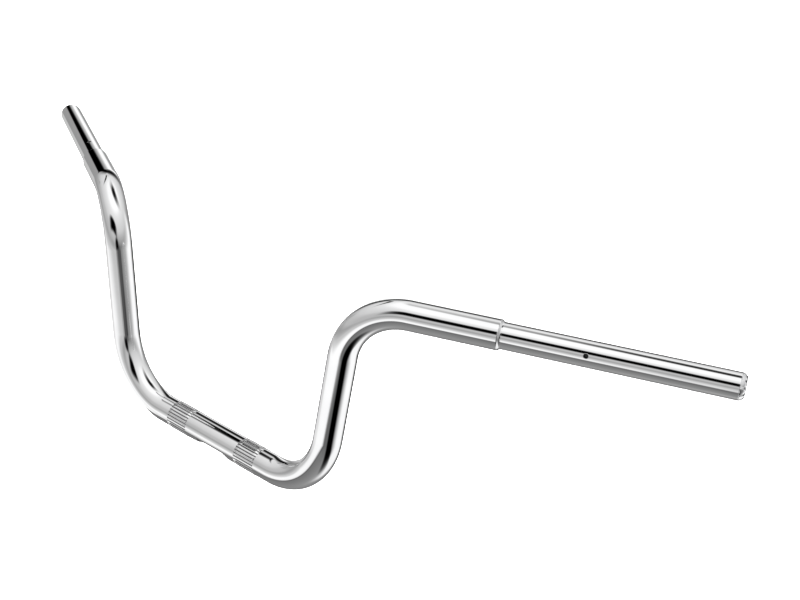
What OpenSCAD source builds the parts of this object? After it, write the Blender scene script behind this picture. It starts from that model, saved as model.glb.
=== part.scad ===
// Motorcycle handlebar: one bent main tube, two telescoped control tubes, their seam welds
// and the notched bushes in the open ends.
// Millimetres. Origin: middle of the clamp section, on the tube axis.
// +X towards the rider's left grip, +Y back towards the rider, +Z up the risers.

/* [Tubes] */
// Main tube outside diameter (1 inch)
main_od = 25.4; // [22.2:0.1:38.1]
// Main tube wall (16 gauge)
main_wall = 1.65; // [1.2:0.05:3]
// Control tube outside diameter (7/8 inch)
control_od = 22.22; // [19:0.01:25.4]
// Control tube wall
control_wall = 1.9; // [1.2:0.1:3]
// Length of control tube pushed inside the main tube
control_overlap = 45; // [20:1:70]
// Diameter of that length, turned down to enter the main tube
spigot_od = 21.9; // [18:0.05:25]

/* [Shape of the bar] */
// Half length of the straight clamp section
clamp_half = 75.5; // [60:0.5:120]
// Lean of each riser outwards from vertical, degrees
riser_lean = 8.5; // [0:0.5:30]
// Centreline radius of the lower bends
lower_bend_r = 66.5; // [40:0.5:100]
// Straight length of each riser
riser_len = 81.5; // [20:0.5:300]
// Centreline radius of the upper bends
upper_bend_r = 54; // [40:0.5:100]
// Sweep of the grips back towards the rider, degrees
pullback = 27.1; // [0:0.1:60]
// Slope of the grips, degrees (negative drops towards the ends)
grip_slope = -1.7; // [-20:0.1:20]
// Straight from the upper bend to the end of the main tube
upper_straight = 74.5; // [20:0.5:200]
// Straight of the control tube outside the main tube, to the rounded nose
control_len = 188; // [120:1:250]

/* [Knurled clamp seats] */
// Length of each knurled band
knurl_len = 26; // [15:0.5:50]
// Distance between the middles of the two bands
knurl_spacing = 95; // [70:0.5:120]
// Shift of both bands from the middle of the bar
knurl_shift = 0; // [-10:0.1:10]
// Number of straight grooves round the tube
knurl_count = 28; // [20:1:60]
// Turn of the grooves about the tube, degrees
knurl_turn = 7.3; // [0:0.1:15]
// Height of the rolled lands above the tube
knurl_raise = 0.16; // [0:0.01:0.4]
// Depth of each groove, from the top of the lands
knurl_depth = 0.5; // [0.1:0.05:0.6]
// Length by which the grooves run out past the lands at each end
knurl_runout = 0.4; // [0.1:0.1:2]
// Width of each groove at the surface
knurl_width = 1.2; // [0.3:0.05:1.5]

/* [Wiring slot] */
// Overall length of the slot
slot_len = 48; // [20:0.5:60]
// Width of the slot
slot_w = 15; // [8:0.5:18]
// Turn of the slot from straight down towards the front, degrees
slot_turn = 35; // [-60:1:60]

/* [Locating holes for the switch housings] */
// Hole diameter
pilot_d = 4; // [2:0.1:8]
// Left hole: distance from the shoulder
pilot_left_s = 70.5; // [10:0.5:120]
// Left hole: turn about the tube from straight up towards the front, degrees
pilot_left_turn = 78; // [-180:1:180]
// Right hole: distance from the shoulder
pilot_right_s = 32; // [10:0.5:120]
// Right hole: turn about the tube from straight up towards the front, degrees
pilot_right_turn = 10; // [-180:1:180]

/* [Shoulder welds] */
// Length of the weld ring along the control tube
weld_len = 2.6; // [1:0.1:5]

/* [End bushes] */
// Length of the rounded nose outside the tube
nose_len = 4; // [1:0.1:8]
// Outside diameter at the tip of the nose
nose_tip_d = 16.6; // [12:0.1:22]
// Bore through the bush
bush_bore = 10; // [6:0.1:14]
// Length pressed into the control tube
spigot_len = 14; // [5:0.5:30]
// Number of notches in the tip
notch_count = 10; // [4:1:24]
// Width of each notch
notch_w = 1.6; // [0.5:0.1:3]
// Depth of each notch
notch_depth = 1.2; // [0.3:0.1:3]

/* [Hidden] */
$fn = 96;
main_ro = main_od / 2;
main_ri = main_ro - main_wall;
control_ro = control_od / 2;
control_ri = control_ro - control_wall;
spigot_ro = spigot_od / 2;
land_ro = main_ro + knurl_raise;
// Straights reach this far into the bends, whose wall is this much thinner on each side
reach_in = 0.2;
hair = 0.01;
lower_angle = 90 - riser_lean;
// Grip direction, and the frame at the top of the riser
grip_dir = [
    cos(grip_slope) * cos(pullback),
    cos(grip_slope) * sin(pullback),
    sin(grip_slope)
];
riser_dir = [sin(riser_lean), 0, cos(riser_lean)];
inward_dir = [-cos(riser_lean), 0, sin(riser_lean)];
upper_angle = acos(grip_dir * riser_dir);
upper_roll = atan2(grip_dir * [0, -1, 0], grip_dir * inward_dir);
// Roll that brings a hole's outward side to straight up, in the frame of the control tube
up_in_grip = grip_up_roll();
chrome = [0.86, 0.87, 0.89];
weld_chrome = [0.80, 0.81, 0.83];
bush_chrome = [0.74, 0.75, 0.77];

// Local frame after the upper bend: heading, side towards the bend's centre, and the third axis
function bend_side() = cos(upper_roll) * inward_dir + sin(upper_roll) * [0, -1, 0];
function grip_x() = cos(upper_angle) * bend_side() - sin(upper_angle) * riser_dir;
function grip_y() = cross(grip_dir, grip_x());
function grip_up_roll() = atan2(grip_y()[2], grip_x()[2]);

// Straight piece of tube along +Z
module straight(len, ro, ri) {
    linear_extrude(len) {
        difference() {
            circle(ro);
            circle(ri);
        }
    }
}

// Bent piece of tube: starts up +Z and turns towards +X.
// Its wall is thinner by a hair each way, so that it ends inside the wall of the next straight.
module bend(r, angle) {
    ro = main_ro - hair;
    ri = main_ri + hair;
    translate([r, 0, 0])
        rotate([90, 0, 180])
            rotate_extrude(angle = angle, $fn = 180)
                translate([r, 0])
                    difference() {
                        circle(ro);
                        circle(ri);
                    }
}

// Moves its children to the far end of a bend
module after_bend(r, angle) {
    translate([r, 0, 0])
        rotate([0, angle, 0])
            translate([-r, 0, 0])
                children();
}

// Frame at the outer end of the clamp section, heading outwards, +X side up
module at_clamp_end() {
    translate([clamp_half, 0, 0])
        rotate([0, 90, 0])
            rotate([0, 0, 180])
                children();
}

// Frame at the start of the upper bend
module at_riser_top() {
    at_clamp_end()
        after_bend(lower_bend_r, lower_angle)
            translate([0, 0, riser_len])
                rotate([0, 0, upper_roll])
                    children();
}

// Frame at the shoulder, where the main tube ends; heading along the grip
module at_shoulder() {
    at_riser_top()
        after_bend(upper_bend_r, upper_angle)
            translate([0, 0, upper_straight])
                children();
}

// The same frame with +X turned straight up
module at_shoulder_up() {
    at_shoulder()
        rotate([0, 0, up_in_grip])
            children();
}

// Straight of the main tube that reaches into the bends at its ends
module main_straight(len, tail) {
    translate([0, 0, -reach_in])
        straight(len + reach_in + tail, main_ro, main_ri);
}

// One side of the main tube, from the clamp section to the shoulder
module main_side() {
    at_clamp_end() {
        bend(lower_bend_r, lower_angle);
        after_bend(lower_bend_r, lower_angle)
            main_straight(riser_len, reach_in);
    }
    at_riser_top() {
        bend(upper_bend_r, upper_angle);
        after_bend(upper_bend_r, upper_angle)
            main_straight(upper_straight, 0);
    }
}

// Raised skin of one knurled band, centred on x
module knurl_skin(x) {
    translate([x - knurl_len / 2, 0, 0])
        rotate([0, 90, 0])
            straight(knurl_len, land_ro, main_ri + main_wall / 2);
}

// Straight grooves of one knurled band, centred on x
module knurl_grooves(x) {
    for (i = [0 : knurl_count - 1]) {
        translate([x - knurl_len / 2 - knurl_runout, 0, 0])
            rotate([i * 360 / knurl_count + knurl_turn, 0, 0])
                rotate([90, 0, 90])
                    linear_extrude(knurl_len + 2 * knurl_runout)
                        polygon([
                            [0, land_ro - knurl_depth],
                            [knurl_width, land_ro + knurl_depth],
                            [-knurl_width, land_ro + knurl_depth]
                        ]);
    }
}

// Obround cutter of the wiring slot, from the axis outwards
module slot_cutter() {
    reach = slot_len / 2 - slot_w / 2;
    rotate([-slot_turn, 0, 0])
        translate([0, 0, -main_ro - 2])
            linear_extrude(main_ro + 2) {
                translate([-reach, 0])
                    circle(slot_w / 2);
                translate([reach, 0])
                    circle(slot_w / 2);
                square([2 * reach, slot_w], center = true);
            }
}

module main_tube() {
    color(chrome)
        difference() {
            union() {
                translate([-clamp_half, 0, 0])
                    rotate([0, 90, 0])
                        main_straight(2 * clamp_half, reach_in);
                main_side();
                mirror([1, 0, 0])
                    main_side();
                knurl_skin(knurl_shift - knurl_spacing / 2);
                knurl_skin(knurl_shift + knurl_spacing / 2);
            }
            knurl_grooves(knurl_shift - knurl_spacing / 2);
            knurl_grooves(knurl_shift + knurl_spacing / 2);
            slot_cutter();
        }
}

// Control tube of one side: turned-down spigot, gap for the weld, full diameter, locating hole
module control_tube(s, turn) {
    at_shoulder_up()
        difference() {
            rotate_extrude()
                polygon([
                    [control_ri, -control_overlap],
                    [spigot_ro, -control_overlap],
                    [spigot_ro, weld_len],
                    [control_ro, weld_len],
                    [control_ro, control_len],
                    [control_ri, control_len]
                ]);
            rotate([0, 0, turn])
                translate([0, 0, s])
                    rotate([0, 90, 0])
                        cylinder(h = control_ro + 2, d = pilot_d, $fn = 48);
        }
}

module control_tube_left() {
    color(chrome)
        control_tube(pilot_left_s, pilot_left_turn);
}

module control_tube_right() {
    color(chrome)
        mirror([1, 0, 0])
            control_tube(pilot_right_s, pilot_right_turn);
}

// Weld ring that fills the gap between the main tube's end and the control tube's full diameter
module shoulder_weld() {
    step = main_ro - control_ro;
    at_shoulder()
        rotate_extrude()
            polygon([
                [spigot_ro, 0],
                [main_ro, 0],
                [main_ro, weld_len * 0.2],
                [main_ro - step * 0.22, weld_len * 0.55],
                [main_ro - step * 0.6, weld_len * 0.85],
                [control_ro, weld_len],
                [spigot_ro, weld_len]
            ]);
}

module shoulder_weld_left() {
    color(weld_chrome)
        shoulder_weld();
}

module shoulder_weld_right() {
    color(weld_chrome)
        mirror([1, 0, 0])
            shoulder_weld();
}

// Bush in the open end: spigot inside the tube, rounded nose outside, notched tip
module end_bush() {
    drop = control_ro - nose_tip_d / 2;
    at_shoulder()
        translate([0, 0, control_len])
            difference() {
                union() {
                    translate([0, 0, -spigot_len])
                        cylinder(h = spigot_len, r = control_ri);
                    rotate_extrude()
                        polygon([
                            [0, 0],
                            [control_ro, 0],
                            [control_ro - drop * 0.1, nose_len * 0.25],
                            [control_ro - drop * 0.38, nose_len * 0.6],
                            [control_ro - drop * 0.72, nose_len * 0.86],
                            [control_ro - drop, nose_len],
                            [0, nose_len]
                        ]);
                }
                translate([0, 0, -spigot_len - 1])
                    cylinder(h = spigot_len + nose_len + 2, d = bush_bore);
                for (i = [0 : notch_count - 1]) {
                    rotate([0, 0, i * 360 / notch_count])
                        translate([bush_bore / 2 + 1, -notch_w / 2, nose_len - notch_depth])
                            cube([control_ro, notch_w, notch_depth + 1]);
                }
            }
}

module end_bush_left() {
    color(bush_chrome)
        end_bush();
}

module end_bush_right() {
    color(bush_chrome)
        mirror([1, 0, 0])
            end_bush();
}

main_tube();
control_tube_left();
control_tube_right();
shoulder_weld_left();
shoulder_weld_right();
end_bush_left();
end_bush_right();
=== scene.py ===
import math

import bpy
import numpy as np
from mathutils import Matrix, Vector


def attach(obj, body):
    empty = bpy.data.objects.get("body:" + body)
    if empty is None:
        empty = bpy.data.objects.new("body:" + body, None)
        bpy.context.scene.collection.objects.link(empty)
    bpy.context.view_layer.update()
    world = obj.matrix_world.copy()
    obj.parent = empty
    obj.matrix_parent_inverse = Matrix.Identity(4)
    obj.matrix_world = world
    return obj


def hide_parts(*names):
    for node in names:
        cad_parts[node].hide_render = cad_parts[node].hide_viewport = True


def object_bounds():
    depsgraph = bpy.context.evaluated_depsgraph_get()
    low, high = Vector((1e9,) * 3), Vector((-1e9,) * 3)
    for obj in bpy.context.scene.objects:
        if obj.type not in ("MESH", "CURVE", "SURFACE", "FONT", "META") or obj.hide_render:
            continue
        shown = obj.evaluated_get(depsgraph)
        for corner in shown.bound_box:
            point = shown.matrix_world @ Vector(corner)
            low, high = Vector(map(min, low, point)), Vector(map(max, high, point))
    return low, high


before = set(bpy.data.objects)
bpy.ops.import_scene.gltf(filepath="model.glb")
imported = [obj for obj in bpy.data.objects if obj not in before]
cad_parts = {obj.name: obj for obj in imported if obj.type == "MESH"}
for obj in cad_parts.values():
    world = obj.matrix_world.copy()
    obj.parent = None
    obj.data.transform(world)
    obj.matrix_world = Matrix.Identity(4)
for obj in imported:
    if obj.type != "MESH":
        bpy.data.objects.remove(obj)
cad_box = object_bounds()

# ---------------------------------------------------------------- sizes, millimetres and degrees
# Tube radii; the main tube is a hair under its 12.7, so that it stays inside the CAD model's facets
MAIN_R, MAIN_RI = 12.675, 11.05
CTRL_R, CTRL_RI, SPIGOT_R = 11.11, 9.21, 10.95
# Half clamp section, riser lean, lower bend, riser, upper bend, sweep back, slope, straight, control end
CLAMP_HALF, LEAN, LOWER_R, RISER = 75.5, 8.5, 66.5, 81.5
UPPER_R, PULLBACK, SLOPE, UPPER, CTRL = 54.0, 27.1, -1.7, 74.5, 188.0
# Control tube inside the main tube, length of the weld and rounding of the main tube's end
OVERLAP, WELD, EDGE = 45.0, 2.6, 0.3
# Knurled bands: radius over the lands, length, distance between middles, grooves in a band
LAND_R, KNURL_LEN, KNURL_GAP, KNURLS = 12.86, 26.0, 95.0, 28
KNURL_DEPTH, KNURL_TURN, RUNOUT = 0.50, 7.3, 0.4
# Wiring slot, turned forward from straight down
SLOT_LEN, SLOT_W, SLOT_TURN = 48.0, 15.0, 35.0
# Locating holes: distance from the shoulder and turn from straight up to the front
HOLE_R, HOLE_LEFT, HOLE_RIGHT = 2.0, (70.5, 78.0), (32.0, 10.0)
# End bush
NOSE, TIP_R, BORE_R, NOTCHES, NOTCH_W, NOTCH_D = 4.0, 8.3, 5.0, 10, 1.6, 1.2
NOTCH_IN, BUSH_SPIGOT = 6.0, 14.0

X, Y, Z = np.eye(3)


def deg(a):
    return math.radians(a)


def unit(v):
    return v / np.linalg.norm(v)


def turn(v, axis, angle):
    """v turned about a unit axis, radians."""
    c, s = math.cos(angle), math.sin(angle)
    return v * c + np.cross(axis, v) * s + axis * (axis @ v) * (1 - c)


D1 = np.array([math.sin(deg(LEAN)), 0, math.cos(deg(LEAN))])
D2 = np.array([math.cos(deg(SLOPE)) * math.cos(deg(PULLBACK)),
               math.cos(deg(SLOPE)) * math.sin(deg(PULLBACK)), math.sin(deg(SLOPE))])


# ---------------------------------------------------------------- centreline of the left half
def stations():
    """(arc length, point, tangent, normal) from the clamp section's end to the shoulder."""
    out = []
    s, p, t, n = CLAMP_HALF, X * CLAMP_HALF, X, Z

    def bend(s, p, t, n, new, r, steps):
        angle = math.acos(float(t @ new))
        axis = unit(np.cross(t, new))
        inward = np.cross(axis, t)
        for k in range(1, steps + 1):
            a = angle * k / steps
            out.append((s + r * a, p + r * (math.sin(a) * t + (1 - math.cos(a)) * inward),
                        turn(t, axis, a), turn(n, axis, a)))
        return out[-1]

    def straight(s, p, t, n, length, steps):
        for k in range(1, steps + 1):
            out.append((s + length * k / steps, p + t * length * k / steps, t, n))
        return out[-1]

    s, p, t, n = bend(s, p, t, n, D1, LOWER_R, 60)
    s, p, t, n = straight(s, p, t, n, RISER, 12)
    s, p, t, n = bend(s, p, t, n, D2, UPPER_R, 64)
    s, p, t, n = straight(s, p, t, n, UPPER - 2 * EDGE, 10)
    straight(s, p, t, n, 2 * EDGE, 2)
    return out


LEFT = stations()
SHOULDER = LEFT[-1][1]
UP = unit(Z - (Z @ D2) * D2)
FRONT = np.cross(D2, UP)


# ---------------------------------------------------------------- mesh helper
class Skin:
    """Gathers vertices in millimetres with a normal hint, an (along, around) coordinate and how much painted
    shade darkens the metal there, 0 to 1."""

    def __init__(self):
        self.v, self.n, self.uv, self.f, self.shade_amount = [], [], [], [], []

    def add(self, p, n=None, uv=(0.0, 0.0), shade_amount=0.0):
        self.v.append(tuple(np.asarray(p, float)))
        self.shade_amount.append(shade_amount)
        self.n.append((0.0, 0.0, 0.0) if n is None else tuple(np.asarray(n, float)))
        self.uv.append(uv)
        return len(self.v) - 1

    def quads(self, a, b, closed=True, flip=False):
        """Joins two rows of vertices, leaving out points that a row repeats."""
        m = len(a)
        for j in range(m if closed else m - 1):
            k = (j + 1) % m
            q = [a[j], b[j], b[k], a[k]]
            q = [i for n, i in enumerate(q) if i not in q[:n]]
            if len(q) > 2:
                self.f.append(q[::-1] if flip else q)

    def rows(self, rows, closed=True, flip=False):
        for a, b in zip(rows, rows[1:]):
            self.quads(a, b, closed, flip)

    def build(self, name, mirror=False):
        """The object in metres; mirror makes the right-hand copy of a left-hand skin."""
        me = bpy.data.meshes.new(name)
        co = np.array(self.v) * 0.001
        nn = np.array(self.n)
        faces = self.f if mirror else [q[::-1] for q in self.f]
        if mirror:
            co, nn = co * [-1, 1, 1], nn * [-1, 1, 1]
        me.from_pydata(co.tolist(), [], faces)
        me.validate()
        me.update()
        me.shade_smooth()
        me.set_sharp_from_angle(angle=deg(32))
        layer = me.uv_layers.new(name="tube")
        uv = np.array(self.uv, np.float32)
        loops = np.zeros(len(me.loops), np.int32)
        me.loops.foreach_get("vertex_index", loops)
        layer.data.foreach_set("uv", uv[loops].ravel())
        # Painted shade: how dark each vertex is painted, standing in for shade in recesses
        painted_shade = me.attributes.new("painted_shade", "FLOAT", "POINT")
        painted_shade.data.foreach_set("value", np.array(self.shade_amount, np.float32))
        me.normals_split_custom_set_from_vertices(nn.tolist())
        o = bpy.data.objects.new(name, me)
        bpy.context.scene.collection.objects.link(o)
        return o


def bearings(flat):
    """Direction of each flat place from the middle of them all, radians."""
    flat = np.array(flat)
    return np.arctan2(*(flat - flat.mean(0))[:, ::-1].T)


def hole_patch(skin, ids, flat, outline, place, ring_steps, uvs):
    """Fills the skin between a rectangle of its grid and a closed outline.

    ids are the vertices round the rectangle and flat their flat places; outline gives the flat place on
    the hole's edge in a direction, and place puts a flat place on the tube. Returns the rows of vertices
    from the rectangle to the outline."""
    flat = np.array(flat)
    inner = np.array([outline(a) for a in bearings(flat)])
    rows = [ids]
    for k in range(1, ring_steps + 1):
        # The rows lie closer together towards the hole
        m = (k / ring_steps) ** 0.6
        row = []
        for q in flat * (1 - m) + inner * m:
            p, n = place(q)
            row.append(skin.add(p, n if k < ring_steps else None, uvs(q)))
        rows.append(row)
    skin.rows(rows)
    return rows


def window_loop(i0, i1, cols):
    """The (row, column) places round a window of the grid, from its first corner."""
    return [(i0, j) for j in cols[:-1]] + [(i, cols[-1]) for i in range(i0, i1)] \
        + [(i1, j) for j in cols[:0:-1]] + [(i, cols[0]) for i in range(i1, i0, -1)]


def grid_with_window(skin, ids, i0, i1, cols):
    """Faces of a closed grid, without those in the window."""
    inside = set(cols[:-1])
    count = len(ids[0])
    for i in range(len(ids) - 1):
        for j in range(count):
            if i0 <= i < i1 and j in inside:
                continue
            k = (j + 1) % count
            skin.f.append([ids[i][j], ids[i + 1][j], ids[i + 1][k], ids[i][k]])


# ---------------------------------------------------------------- main tube
# One groove and the land after it: turn from the groove's middle, depth and how much painted shade darkens
# it
PITCH = 360.0 / KNURLS
TURNS = [-2.75, -2.35, -1.3, 0.0, 1.3, 2.35, 2.75, 4.6, 6.43, 8.26]
DEPTHS = [0.0, 0.08, 0.3, KNURL_DEPTH, 0.3, 0.08, 0.0, 0.0, 0.0, 0.0]
GROOVE_SHADE_STEPS = [0.0, 0.4, 0.85, 1.0, 0.85, 0.4, 0.0, 0.0, 0.0, 0.0]
# In the frame of the rings 0 is straight up and 90 straight to the front
PHI = np.radians([k * PITCH + KNURL_TURN + a for k in range(KNURLS) for a in TURNS])
KNURLED = LAND_R - np.array(DEPTHS * KNURLS)
GROOVE_SHADE = np.array(GROOVE_SHADE_STEPS * KNURLS)
N = len(PHI)
PLAIN = np.full(N, MAIN_R)
# Half a band with its run-out and the groove's end wall, and the slope at the ends of the lands
BAND_HALF, LAND_RAMP = KNURL_LEN / 2 + RUNOUT + 0.05, 0.14
# The wiring slot is cut in a window of the grid, and the tube's bore shows only through it
SLOT_PHI = deg(180 - SLOT_TURN)
WINDOW_HALF, WINDOW_TURN, WINDOW_STEP = 26.0, 46.0, 2.0
LOOK_IN_TURN = 50.0


def knurled_band(middle):
    """(x, radii) of the rings of one band, whose grooves run out into the plain tube."""
    grooved = np.minimum(KNURLED, MAIN_R)
    half = KNURL_LEN / 2
    end = [(BAND_HALF, PLAIN), (half + RUNOUT, grooved), (half + 0.02, grooved), (half - LAND_RAMP, KNURLED)]
    rings = [(middle - x, r) for x, r in end]
    rings += [(middle - half + KNURL_LEN * k / 6, KNURLED) for k in range(1, 6)]
    return rings + [(middle + x, r) for x, r in end[::-1]]


def clamp_rings():
    """(x, radii) of the rings of the clamp section."""
    near, out = BAND_HALF - KNURL_GAP / 2, BAND_HALF + KNURL_GAP / 2
    rings = [(-CLAMP_HALF + k * 2.5, PLAIN) for k in range(3)]
    rings += knurled_band(-KNURL_GAP / 2)
    rings += [(near + (-WINDOW_HALF - near) * k / 8, PLAIN) for k in range(1, 8)]
    rings += [(-WINDOW_HALF + WINDOW_STEP * k, PLAIN) for k in range(27)]
    rings += knurled_band(KNURL_GAP / 2)
    rings += [(out + (CLAMP_HALF - out) * k / 8, PLAIN) for k in range(1, 9)]
    return rings


def slot_place(q, r):
    """Point and outward direction at a flat place round the slot's middle, on radius r."""
    phi = SLOT_PHI + math.asin(max(-1.0, min(1.0, q[1] / r)))
    d = math.cos(phi) * Z - math.sin(phi) * Y
    return X * q[0] + d * r, d


def obround(a):
    """Place on the slot's outline in the direction a from its middle."""
    half, r = SLOT_LEN / 2 - SLOT_W / 2, SLOT_W / 2
    c, s = math.cos(a), math.sin(a)
    if abs(s) > 1e-9 and abs(c / s) * r <= half:
        return c / abs(s) * r, math.copysign(r, s)
    h = math.copysign(half, c)
    b = c * h
    k = b + math.sqrt(max(b * b - half * half + r * r, 0.0))
    return k * c, k * s


def slot_walls(skin, edge, rim):
    """The slot's walls, from the edge in the outer skin to the bore."""
    rows = [edge]
    # The lower rows of the wall are painted dark as painted shade
    for shrink, r, shade_amount in ((0.12, MAIN_R - 0.06, 0.0), (0.2, MAIN_R - 0.22, 0.0),
                            (0.2, MAIN_RI + 0.1, 1.0), (0.14, MAIN_RI, 1.0)):
        row = []
        for q in rim:
            q = q * (1 - shrink / np.linalg.norm(q))
            row.append(skin.add(slot_place(q, r)[0], None, (q[0], q[1]), shade_amount))
        rows.append(row)
    skin.rows(rows)
    return rows[-1]


def clamp_bore(skin, edge, rim, angles):
    """The bore behind the slot: the far side as a grid, the near side spread out from the slot's edge, all
    painted dark as painted shade.
    """
    far_turns = [SLOT_PHI + deg(LOOK_IN_TURN) + deg(360 - 2 * LOOK_IN_TURN) * k / 96 for k in range(97)]
    far = []
    for x in [-CLAMP_HALF + 2 * CLAMP_HALF * k / 30 for k in range(31)]:
        row = []
        for a in far_turns:
            d = math.cos(a) * Z - math.sin(a) * Y
            row.append(skin.add(X * x + d * MAIN_RI, None, (x, a * MAIN_RI), 1.0))
        far.append(row)
    skin.rows(far, closed=False, flip=True)
    wide = MAIN_RI * math.sin(deg(LOOK_IN_TURN))
    reach = []
    for a in angles:
        c, s = math.cos(a), math.sin(a)
        k = min(CLAMP_HALF / max(abs(c), 1e-9), wide / max(abs(s), 1e-9))
        reach.append(np.array([k * c, k * s]))
    rows = [edge]
    for k in range(1, 7):
        # The rows lie closer together at the slot
        m = (k / 6) ** 1.5
        places = [q0 * (1 - m) + q1 * m for q0, q1 in zip(rim, reach)]
        rows.append([skin.add(slot_place(q, MAIN_RI)[0], None, (q[0], q[1]), 1.0) for q in places])
    skin.rows(rows)


def main_tube():
    skin = Skin()
    rings = [(p * [-1.0, 1, 1], t * [1, -1, -1], n * [-1.0, 1, 1], -s, PLAIN) for s, p, t, n in LEFT[::-1]]
    rings += [(X * x, X, Z, x, r) for x, r in clamp_rings()]
    rings += [(p, t, n, s, PLAIN) for s, p, t, n in LEFT]
    total = LEFT[-1][0]
    ids = []
    for p, t, n, s, r in rings:
        back = total - abs(s)
        chamfer = EDGE if back < 0.01 else EDGE / 5 if back < EDGE + 0.01 else 0.0
        smooth = r is PLAIN and back > EDGE + 0.1
        d = np.cos(PHI)[:, None] * n + np.sin(PHI)[:, None] * np.cross(t, n)
        points = p + d * (r - chamfer)[:, None]
        # The grooves are painted darker towards their middle, as painted shade
        shade_amount = GROOVE_SHADE * (r - chamfer < KNURLED + 1e-6) * (not smooth)
        ids.append([skin.add(q, e if smooth else None, (s, a * MAIN_R), c)
                    for q, e, a, c in zip(points, d, PHI, shade_amount)])
    off = np.abs((PHI - SLOT_PHI + math.pi) % (2 * math.pi) - math.pi)
    cols = [j for j in range(N) if off[j] < deg(WINDOW_TURN)]
    span = [i for i, ring in enumerate(rings) if abs(ring[3]) <= WINDOW_HALF + 0.01]
    grid_with_window(skin, ids, span[0], span[-1], cols)
    loop = window_loop(span[0], span[-1], cols)
    flat = [(rings[i][3], MAIN_R * math.sin(PHI[j] - SLOT_PHI)) for i, j in loop]
    patch = hole_patch(skin, [ids[i][j] for i, j in loop], flat, obround,
                       lambda q: slot_place(q, MAIN_R), 8, lambda q: (q[0], q[1] + SLOT_PHI * MAIN_R))
    angles = bearings(flat)
    rim = [np.array(obround(a)) for a in angles]
    clamp_bore(skin, slot_walls(skin, patch[-1], rim), rim, angles)
    return skin


# ---------------------------------------------------------------- control tube, in the frame of the shoulder
# Columns of the skin, and the window of the grid that holds the locating hole
COLUMNS, HOLE_COLUMNS, HOLE_WINDOW, HOLE_STEPS = 144, 12, 6.0, 20
# Rounding of the control tube's open rim
RIM = 0.28


def at(s, phi, r):
    """Point at s along the grip; phi from straight up towards the front."""
    d = math.cos(phi) * UP + math.sin(phi) * FRONT
    return SHOULDER + D2 * s + d * r, d


def control_rings(hole_s):
    """(s, how far inside the tube's radius, whether the skin is smooth there) of the outer rings."""
    start, low, high = WELD + 0.25, hole_s - HOLE_WINDOW, hole_s + HOLE_WINDOW
    along = [WELD, start]
    along += [start + (low - start) * k / 10 for k in range(1, 10)]
    along += [low + 2 * HOLE_WINDOW * k / HOLE_STEPS for k in range(HOLE_STEPS + 1)]
    along += [high + (CTRL - high) * k / 14 for k in range(1, 14)] + [CTRL - 0.35]
    return [(s, 0.0, True) for s in along] + [(CTRL - 0.1, 0.08, False), (CTRL, RIM, False)]


def control_bore(skin):
    """The bore, the inner end and the spigot inside the main tube; the bore is painted dark as painted
    shade.
    """
    angles = [2 * math.pi * k / 72 for k in range(72)]
    profile = [(CTRL, CTRL_R - RIM), (CTRL, CTRL_RI), (CTRL - 0.4, CTRL_RI)]
    profile += [(CTRL - 10 - (CTRL + OVERLAP - 10) * k / 24, CTRL_RI) for k in range(25)]
    profile += [(-OVERLAP, SPIGOT_R), (0.0, SPIGOT_R), (WELD - 0.05, SPIGOT_R), (WELD - 0.05, CTRL_R - 0.02)]
    skin.rows([[skin.add(at(s, a, r)[0], None, (s, a * r), 1.0 if r < CTRL_RI + 0.01 else 0.0)
                for a in angles] for s, r in profile])


def control_tube(hole_s, hole_turn):
    skin = Skin()
    hole_phi, pitch = deg(hole_turn), 2 * math.pi / COLUMNS
    phis = [hole_phi + pitch * (k + 0.5) for k in range(COLUMNS)]
    rings = control_rings(hole_s)
    ids = []
    for s, inset, smooth in rings:
        row = []
        for a in phis:
            p, d = at(s, a, CTRL_R - inset)
            row.append(skin.add(p, d if smooth else None, (s, a * CTRL_R)))
        ids.append(row)
    first = next(i for i, ring in enumerate(rings) if ring[0] > hole_s - HOLE_WINDOW - 0.001)
    steps = range(-HOLE_COLUMNS, HOLE_COLUMNS)
    cols = [k % COLUMNS for k in steps]
    grid_with_window(skin, ids, first, first + HOLE_STEPS, cols)
    loop = window_loop(first, first + HOLE_STEPS, cols)
    off = {j: (k + 0.5) * pitch for k, j in zip(steps, cols)}
    flat = [(rings[i][0] - hole_s, CTRL_R * math.sin(off[j])) for i, j in loop]

    def place(q, r=CTRL_R):
        return at(hole_s + q[0], hole_phi + math.asin(q[1] / r), r)

    def circle(a, r=HOLE_R):
        return r * math.cos(a), r * math.sin(a)

    patch = hole_patch(skin, [ids[i][j] for i, j in loop], flat, circle, place, 7,
                       lambda q: (q[0] + hole_s, q[1] + hole_phi * CTRL_R))
    wall = [patch[-1]]
    # The hole's wall and the tube's bore are painted dark as painted shade
    for hole_r, r, shade_amount in ((HOLE_R - 0.06, CTRL_R - 0.03, 0.4), (HOLE_R - 0.1, CTRL_R - 0.1, 1.0),
                            (HOLE_R - 0.1, CTRL_RI + 0.02, 1.0)):
        wall.append([skin.add(place(circle(a, hole_r), r)[0], None, (r, a), shade_amount) for a in bearings(flat)])
    skin.rows(wall)
    control_bore(skin)
    return skin


# ---------------------------------------------------------------- weld ring and bush
# Flat tip of the bush, the bush's play in the tube, and its lead-in chamfer
TIP, PLAY, LEAD_IN = NOSE - 0.01, 0.01, 0.4


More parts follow.
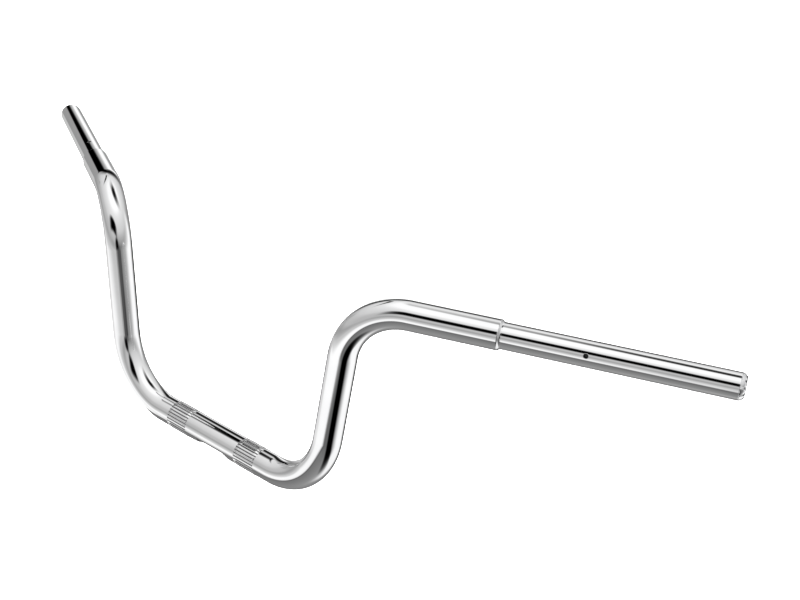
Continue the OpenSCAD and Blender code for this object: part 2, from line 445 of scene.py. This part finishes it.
def shoulder_weld(seed):
    """A sloping ring of weld with a slightly uneven skin, closed round to the spigot."""
    skin = Skin()
    count, wobble, step = 180, 0.012, MAIN_R - CTRL_R
    profile = [(0.02, SPIGOT_R), (0.02, MAIN_R - 0.34), (0.05, MAIN_R - 0.22)]
    for u in [k / 12 for k in range(13)]:
        profile.append((0.12 + 1.55 * u, CTRL_R + 0.02 + (step - 0.26) * (1 - u) ** 1.25))
    profile += [(WELD - 0.10, CTRL_R + 0.01), (WELD, CTRL_R - 0.005), (WELD, SPIGOT_R)]
    rows = []
    for s, r in profile:
        row = []
        for k in range(count):
            a = 2 * math.pi * k / count
            w = wobble * (math.sin(9 * a + seed) * 0.5 + math.sin(23 * a + 2 * seed) * 0.3
                          + math.sin(41 * a + 3 * seed + s) * 0.2)
            row.append(skin.add(at(s + w * 0.6, a, r - abs(w) * 0.5)[0], None, (s, a * r)))
        rows.append(row)
    skin.rows(rows + rows[:1])
    return skin


def nose_profile():
    """(s, r) of the nose: a few guide points with their corners cut three times, always inwards."""
    drop = CTRL_R - TIP_R
    line = [(0.35, CTRL_R - 0.03)]
    line += [(NOSE * a, CTRL_R - 0.02 - drop * b) for a, b in ((0.25, 0.1), (0.6, 0.38), (0.86, 0.72))]
    line += [(TIP, TIP_R - 0.02), (TIP, TIP_R - 0.5)]
    for _ in range(3):
        cut = [(1 - w, w) for w in (0.25, 0.75)]
        line = [line[0]] + [(a * p[0] + b * q[0], a * p[1] + b * q[1])
                            for p, q in zip(line, line[1:]) for a, b in cut] + [line[-1]]
    return [(0.0, CTRL_R - 0.30), (0.12, CTRL_R - 0.12)] + line


def sector_turns(r):
    """(turn, kind) across one sector on radius r: plain, the notch's edge or the notch itself."""
    end = math.pi / NOTCHES
    half = math.asin(min(0.9, NOTCH_W / 2 / r))
    lip = math.asin(min(0.9, (NOTCH_W / 2 + 0.12) / r))
    ease = end * 0.72 + lip * 0.28
    return [(-end, "plain"), (-ease, "plain"), (-lip, "plain"), (-half, "edge"), (-half, "notch"),
            (0, "notch"), (half, "notch"), (half, "edge"), (lip, "plain"), (ease, "plain")]


def end_bush():
    skin = Skin()
    floor = NOSE - NOTCH_D
    spigot = [(-BUSH_SPIGOT, BORE_R), (-BUSH_SPIGOT, CTRL_RI - LEAD_IN)]
    spigot += [(LEAD_IN - BUSH_SPIGOT, CTRL_RI - PLAY), (-0.02, CTRL_RI - PLAY), (-0.02, CTRL_R - 0.32)]
    face = [(TIP, 7.0), (TIP, NOTCH_IN + 0.02), (TIP, NOTCH_IN), (TIP, BORE_R + 0.35)]
    bore = [(NOSE - 0.12, BORE_R + 0.1), (NOSE - 0.35, BORE_R), (-BUSH_SPIGOT, BORE_R)]
    rows = []
    for s, r in spigot + nose_profile() + face + bore:
        row = []
        notched = r > NOTCH_IN - 0.01 and s > floor
        for mid in [2 * math.pi * k / NOTCHES for k in range(NOTCHES)]:
            for a, kind in sector_turns(r):
                ss = s
                if notched and kind == "notch":
                    ss = floor
                elif notched and kind == "edge" and s > floor + 0.2:
                    ss = s - 0.12
                # Notch floors, notch edges and the bore are painted dark as painted shade
                shade_amount = 1.0 if (notched and kind != "plain") or r < BORE_R + 0.05 else 0.0
                row.append(skin.add(at(CTRL + ss, mid + a, r)[0], None, (ss, (mid + a) * r), shade_amount))
        rows.append(row)
    skin.rows(rows)
    return skin


# ---------------------------------------------------------------- materials
# Near-black tone and raised roughness of the painted shade in recesses
PAINTED_SHADE_TONE, PAINTED_SHADE_ROUGHNESS = (0.05, 0.05, 0.052, 1), 0.35


def node(tree, kind, ins=None, **props):
    """A new node with its properties set and its inputs linked, or set where a plain value is given."""
    n = tree.nodes.new(kind)
    for k, v in props.items():
        setattr(n, k, v)
    for k, v in (ins or {}).items():
        if isinstance(v, bpy.types.NodeSocket):
            tree.links.new(v, n.inputs[k])
        else:
            n.inputs[k].default_value = v
    return n


def empty_material(name):
    m = bpy.data.materials.new(name)
    m.use_nodes = True
    m.node_tree.nodes.clear()
    return m, m.node_tree, node(m.node_tree, "ShaderNodeOutputMaterial")


def chrome(name, low, high, rough, lines, wave):
    """Plated chrome: cloudy tone, faint polishing lines round the tube and a slight orange-peel, with
    near-black, dull painted shade where the skin is marked for it. lines and wave are bump heights in
    metres."""
    m, t, out = empty_material(name)
    geo = node(t, "ShaderNodeTexCoord")
    uv = node(t, "ShaderNodeUVMap", uv_map="tube")
    cloud = node(t, "ShaderNodeTexNoise", {"Vector": geo.outputs["Object"], "Scale": 34.0, "Detail": 3.0})
    stretch = node(t, "ShaderNodeMapping", {"Vector": uv.outputs["UV"], "Scale": (2.6, 0.035, 1.0)})
    polish = node(t, "ShaderNodeTexNoise", {"Vector": stretch.outputs["Vector"], "Scale": 1.0, "Detail": 4.0,
                                            "Roughness": 0.6})
    ramp = node(t, "ShaderNodeValToRGB", {"Fac": cloud.outputs["Fac"]})
    ramp.color_ramp.elements[0].position, ramp.color_ramp.elements[0].color = 0.35, (*low, 1)
    ramp.color_ramp.elements[1].position, ramp.color_ramp.elements[1].color = 0.68, (*high, 1)
    gloss = node(t, "ShaderNodeMapRange", {"Value": polish.outputs["Fac"], "From Min": 0.35, "From Max": 0.7,
                                           "To Min": rough * 0.75, "To Max": rough * 1.35})
    peel = node(t, "ShaderNodeTexNoise", {"Vector": geo.outputs["Object"], "Scale": 120.0, "Detail": 1.0})
    waved = node(t, "ShaderNodeBump", {"Height": peel.outputs["Fac"], "Strength": 1.0, "Distance": wave})
    lined = node(t, "ShaderNodeBump", {"Height": polish.outputs["Fac"], "Strength": 1.0, "Distance": lines,
                                       "Normal": waved.outputs["Normal"]})
    # Painted shade mask
    shade_amount = node(t, "ShaderNodeAttribute", attribute_name="painted_shade").outputs["Fac"]
    tone = node(t, "ShaderNodeMix", {"Factor": shade_amount}, data_type="RGBA")
    t.links.new(ramp.outputs["Color"], tone.inputs[6])
    tone.inputs[7].default_value = PAINTED_SHADE_TONE
    roughness = node(t, "ShaderNodeMath", {0: shade_amount, 1: PAINTED_SHADE_ROUGHNESS, 2: gloss.outputs["Result"]},
                     operation="MULTIPLY_ADD")
    bsdf = node(t, "ShaderNodeBsdfPrincipled", {"Base Color": tone.outputs[2], "Metallic": 1.0,
                                                "Roughness": roughness.outputs[0],
                                                "Normal": lined.outputs["Normal"]})
    t.links.new(bsdf.outputs["BSDF"], out.inputs["Surface"])
    return m


tube_chrome = chrome("chrome_tube", (0.885, 0.887, 0.892), (0.93, 0.931, 0.934), 0.012, 1.2e-7, 1.2e-6)
weld_chrome = chrome("chrome_weld", (0.84, 0.842, 0.85), (0.91, 0.912, 0.918), 0.035, 3.0e-7, 4.0e-6)
bush_chrome = chrome("chrome_bush", (0.84, 0.843, 0.85), (0.91, 0.912, 0.918), 0.045, 4.0e-7, 5.0e-6)


# ---------------------------------------------------------------- pieces
def piece(skin, name, body, node_name, material, mirror=False):
    o = skin.build(name, mirror)
    o.data.materials.append(material)
    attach(o, body)
    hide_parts(node_name)


piece(main_tube(), "main_tube_skin", "root", "main_tube", tube_chrome)
piece(control_tube(*HOLE_LEFT), "control_tube_left_skin", "root", "control_tube_left",
      tube_chrome)
piece(control_tube(*HOLE_RIGHT), "control_tube_right_skin", "root", "control_tube_right",
      tube_chrome, mirror=True)
piece(shoulder_weld(0.4), "shoulder_weld_left_ring", "root", "shoulder_weld_left",
      weld_chrome)
piece(shoulder_weld(2.1), "shoulder_weld_right_ring", "root", "shoulder_weld_right",
      weld_chrome, mirror=True)
piece(end_bush(), "end_bush_left_nose", "root", "end_bush_left", bush_chrome)
piece(end_bush(), "end_bush_right_nose", "root", "end_bush_right", bush_chrome, mirror=True)

# ---------------------------------------------------------------- studio: tones seen in the chrome
# SKY and CARDS are shortened and rounded from tables that a fitting program made; they weren't set by eye.
# A tone becomes light by its power, and the light is raised by what the chrome takes away.
TONE_POWER, CHROME_TONE = 2.2, 0.91
# A card is seen only in directions whose cosine with its own is over this
CARD_AHEAD = 0.08
# Tone by elevation in degrees: the dim floor, its lit strip, the grey walls and the ceiling.
SKY = [(-90, 0.65), (-75, 0.55), (-40, 0.45), (-36, 0.37), (-32, 0.93), (-26, 0.92), (-19, 0.75),
       (-10, 0.75), (0, 0.50), (12, 0.65), (25, 0.80), (50, 0.90), (62, 1.00), (90, 1.00)]
# Soft cards that the chrome mirrors, each laid over those before it. In degrees: azimuth (clockwise from
# +Y), elevation, width, height, roll, softness of the sides, softness of top and bottom. Then the tone
# (0 black to 1 white) and how far the card is bowed.
CARDS = [
    ("white_floor", 39, -48, 44, 64, 22, 10, 20, 0.97, 1.0),
    ("white_side", 49, -20, 90, 50, -26, 18, 25, 1.0, -0.3),
    ("grey_side", 110, -25, 78, 36, -15, 45, 15, 0.4, 0.2),
    ("grey_low", -11, -24, 36, 28, 22, 16, 9, 0.25, 0.0),
    ("grey_back", 167, 15, 53, 30, 6, 30, 16, 0.75, 0.4),
    ("band_left", -153, -29, 80, 10, 9, 17, 3, 0.97, 0.0),
    ("band_right", -164, -25, 65, 15, 2, 45, 6, 1.0, 0.0),
    ("black_down", 121, -39, 30, 58, -11, 6, 27, 0.0, -1.5),
    ("black_back", 160, 29, 41, 20, 0, 14, 5, 0.0, 0.5),
    ("black_knee", 139, 3, 20, 17, -10, 8, 6, 0.0, 1.5),
    ("black_left", -79, 46.5, 28, 4, -17, 12, 2, 0.0, 1.2),
    ("black_corner", -69, 15.5, 30, 11, 54, 6, 3, 0.0, 0.0),
    ("black_front", -48, 26, 41, 15, -16, 20, 9, 0.0, 0.5),
    ("black_top", 16, 79, 29, 19, -21, 25, 6, 0.0, 0.6),
    ("black_top_left", -19, 78, 14, 7, -18, 2, 14, 0.0, 1.5),
    ("white_front", -47, 8, 25, 10, -15, 7, 4, 1.0, 1.4),
    ("grey_left", -89, 0, 34, 19.5, -14, 2, 1, 0.57, -1.5),
    ("dim_left", -131, 7, 86, 2, 5, 45, 28, 0.82, 0.0),
    ("white_low", -96, -35, 43, 10, 0, 10, 1, 1.0, 0.1),
    ("white_high", -60, 40, 12, 9, 35, 2, 1, 0.8, 0.0),
    ("dark_left_edge", -72, -22, 21, 5, -12, 3, 3, 0.33, 0.0),
    ("dark_front_edge", -47, -25, 29, 8, -6, 5, 2.5, 0.33, 0.0),
]


def card_group():
    """Node group that lays one soft card over the tone seen so far in a direction."""
    g = bpy.data.node_groups.new("card", "ShaderNodeTree")
    face = g.interface
    for n in ("Direction", "C", "U", "V"):
        face.new_socket(n, in_out="INPUT", socket_type="NodeSocketVector")
    for n in ("Tone", "X0", "X1", "Y0", "Y1", "Bow", "Level"):
        face.new_socket(n, in_out="INPUT", socket_type="NodeSocketFloat")
    face.new_socket("Tone", in_out="OUTPUT", socket_type="NodeSocketFloat")
    given, result = node(g, "NodeGroupInput").outputs, node(g, "NodeGroupOutput").inputs

    def calc(op, *values):
        return node(g, "ShaderNodeMath", dict(enumerate(values)), operation=op).outputs[0]

    def dot(key):
        ins = {0: given["Direction"], 1: given[key]}
        return node(g, "ShaderNodeVectorMath", ins, operation="DOT_PRODUCT").outputs["Value"]

    def soft(v, inner, outer):
        ins = {"Value": calc("ABSOLUTE", v), "From Min": given[outer], "From Max": given[inner]}
        return node(g, "ShaderNodeMapRange", ins, interpolation_type="SMOOTHSTEP").outputs["Result"]

    facing = dot("C")
    ahead = calc("GREATER_THAN", facing, CARD_AHEAD)
    depth = calc("MAXIMUM", facing, CARD_AHEAD)
    x = calc("DIVIDE", dot("U"), depth)
    y = calc("DIVIDE", dot("V"), depth)
    y = calc("MULTIPLY_ADD", calc("MULTIPLY", x, x), given["Bow"], y)
    cover = calc("MULTIPLY", calc("MULTIPLY", soft(x, "X0", "X1"), soft(y, "Y0", "Y1")), ahead)
    step = calc("SUBTRACT", given["Level"], given["Tone"])
    g.links.new(calc("MULTIPLY_ADD", step, cover, given["Tone"]), result["Tone"])
    return g


def studio():
    w = bpy.data.worlds.new("studio")
    bpy.context.scene.world = w
    w.use_nodes = True
    t = w.node_tree
    t.nodes.clear()
    ray = node(t, "ShaderNodeTexCoord").outputs["Generated"]
    z = node(t, "ShaderNodeSeparateXYZ", {"Vector": ray}).outputs["Z"]
    el = node(t, "ShaderNodeMath", {0: z}, operation="ARCSINE").outputs[0]
    pos = node(t, "ShaderNodeMapRange", {"Value": el, "From Min": -math.pi / 2, "From Max": math.pi / 2})
    ramp = node(t, "ShaderNodeValToRGB", {"Fac": pos.outputs["Result"]})
    stops = ramp.color_ramp.elements
    for k, (e, v) in enumerate(SKY):
        s = stops[k] if k < 2 else stops.new(1.0)
        s.position, s.color = (e + 90) / 180, (v, v, v, 1)
    tone = node(t, "ShaderNodeSeparateColor", {"Color": ramp.outputs["Color"]}).outputs[0]
    group = card_group()
    for name, az, e, wide, high, roll, soft_w, soft_h, level, bow in CARDS:
        a, b, r, sx, sy = deg(az), deg(e), deg(roll), deg(soft_w), deg(soft_h)
        hw, hh = math.tan(deg(wide / 2)), math.tan(deg(high / 2))
        c = Vector((math.sin(a) * math.cos(b), math.cos(a) * math.cos(b), math.sin(b)))
        u = Vector((math.cos(a), -math.sin(a), 0.0))
        v = Vector((-math.sin(a) * math.sin(b), -math.cos(a) * math.sin(b), math.cos(b)))
        uu, vv = math.cos(r) * u + math.sin(r) * v, math.cos(r) * v - math.sin(r) * u
        n = node(t, "ShaderNodeGroup", node_tree=group, label=name)
        t.links.new(tone, n.inputs["Tone"])
        t.links.new(ray, n.inputs["Direction"])
        for k, val in (("C", c), ("U", uu), ("V", vv), ("X0", hw - sx), ("X1", hw + sx), ("Y0", hh - sy),
                       ("Y1", hh + sy), ("Bow", bow), ("Level", level)):
            n.inputs[k].default_value = val
        tone = n.outputs["Tone"]
    light = node(t, "ShaderNodeMath", {0: tone, 1: TONE_POWER}, operation="POWER").outputs[0]
    back = node(t, "ShaderNodeBackground", {"Color": light, "Strength": 1.0 / CHROME_TONE})
    plain = node(t, "ShaderNodeBackground", {"Color": (1, 1, 1, 1), "Strength": 1.0})
    eye = node(t, "ShaderNodeLightPath").outputs["Is Camera Ray"]
    both = node(t, "ShaderNodeMixShader", {0: eye, 1: back.outputs["Background"],
                                           2: plain.outputs["Background"]})
    out = node(t, "ShaderNodeOutputWorld")
    t.links.new(both.outputs["Shader"], out.inputs["Surface"])
    w.cycles_visibility.diffuse = False
    w.cycles.sampling_method = "NONE"


studio()

# ---------------------------------------------------------------- floor and soft lamps, in metres
FLOOR_Z, FLOOR_HALF = cad_box[0][2] - 0.28, 14.0


def pale(name):
    m, t, out = empty_material(name)
    geo = node(t, "ShaderNodeTexCoord")
    cloud = node(t, "ShaderNodeTexNoise", {"Vector": geo.outputs["Object"], "Scale": 3.0, "Detail": 2.0})
    ramp = node(t, "ShaderNodeValToRGB", {"Fac": cloud.outputs["Fac"]})
    ramp.color_ramp.elements[0].color = (0.90, 0.90, 0.90, 1)
    ramp.color_ramp.elements[1].color = (0.93, 0.93, 0.93, 1)
    bsdf = node(t, "ShaderNodeBsdfDiffuse", {"Color": ramp.outputs["Color"], "Roughness": 0.5})
    t.links.new(bsdf.outputs["BSDF"], out.inputs["Surface"])
    return m


def lay_floor():
    me = bpy.data.meshes.new("floor")
    corners = [(x * FLOOR_HALF, y * FLOOR_HALF, FLOOR_Z) for x, y in ((-1, -1), (1, -1), (1, 1), (-1, 1))]
    me.from_pydata(corners, [], [(0, 1, 2, 3)])
    me.materials.append(pale("floor_pale"))
    floor = bpy.data.objects.new("floor", me)
    bpy.context.scene.collection.objects.link(floor)
    floor.visible_glossy = False


def lamp(name, kind, energy, where, tilt):
    """A lamp that the chrome doesn't mirror, pointing down but for its tilt in degrees."""
    data = bpy.data.lights.new(name, kind)
    data.energy = energy
    o = bpy.data.objects.new(name, data)
    o.location = where
    o.rotation_euler = (deg(tilt[0]), deg(tilt[1]), 0)
    o.visible_glossy = False
    o.visible_camera = False
    bpy.context.scene.collection.objects.link(o)
    return data


lay_floor()
overhead = lamp("overhead", "AREA", 420.0, (0.2, -0.2, 3.2), (3.6, 3.6))
overhead.shape, overhead.size = "DISK", 4.5
lamp("wash", "SUN", 3.5, (0, 0, 3), (8, 6)).angle = deg(60)

# ---------------------------------------------------------------- camera
# The photograph's viewing angle, in degrees: azimuth 0 looks along +Y and 90 along -X. Place in metres.
CAM_AT, CAM_AZ, CAM_DOWN, CAM_ROLL, CAM_LENS = (1.0183, -0.8462, 0.6734), 43.58, 21.82, 4.06, 73.08


def set_camera():
    data = bpy.data.cameras.new("camera")
    data.sensor_width, data.lens = 36.0, CAM_LENS
    data.clip_start, data.clip_end = 0.05, 60.0
    cam = bpy.data.objects.new("camera", data)
    az, down, roll = deg(CAM_AZ), deg(CAM_DOWN), deg(CAM_ROLL)
    level = Vector((math.cos(az), math.sin(az), 0.0))
    ahead = Vector((-math.sin(az), math.cos(az), 0.0)) * math.cos(down) - Vector((0, 0, math.sin(down)))
    right = level * math.cos(roll) + level.cross(ahead) * math.sin(roll)
    axes = Matrix((right, right.cross(ahead), -ahead)).transposed()
    cam.matrix_world = Matrix.Translation(CAM_AT) @ axes.to_4x4()
    bpy.context.scene.collection.objects.link(cam)
    bpy.context.scene.camera = cam


set_camera()
bpy.context.scene.view_settings.view_transform = "Standard"
